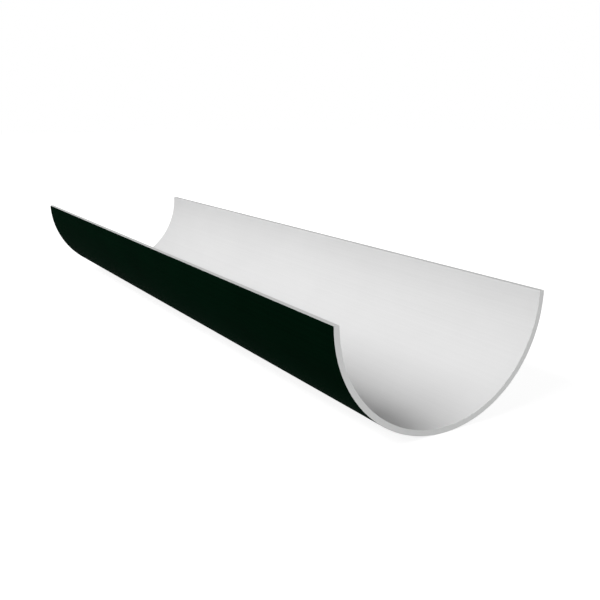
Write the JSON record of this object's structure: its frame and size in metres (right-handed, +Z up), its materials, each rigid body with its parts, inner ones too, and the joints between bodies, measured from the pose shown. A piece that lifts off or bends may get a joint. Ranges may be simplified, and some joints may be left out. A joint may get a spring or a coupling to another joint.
{
  "type": "gutter section",
  "caption": "Plain half-round plastic gutter length, open along its top and at its sawn ends, white inside and dark green outside; carries rainwater along an eaves.",
  "frame": {"origin": "lowest point of the round underside, midway between the two sawn ends", "axes": "+X along the run of the gutter, +Y across it towards one rim, +Z up through the open top"},
  "size_m": [0.48, 0.125, 0.0625],
  "materials": {
    "gutter_plastic": "matt white extruded plastic, dark green on the outer half-round face"
  },
  "bodies": {
    "root": {"gutter_section": "gutter_plastic"}
  },
  "joints": []
}
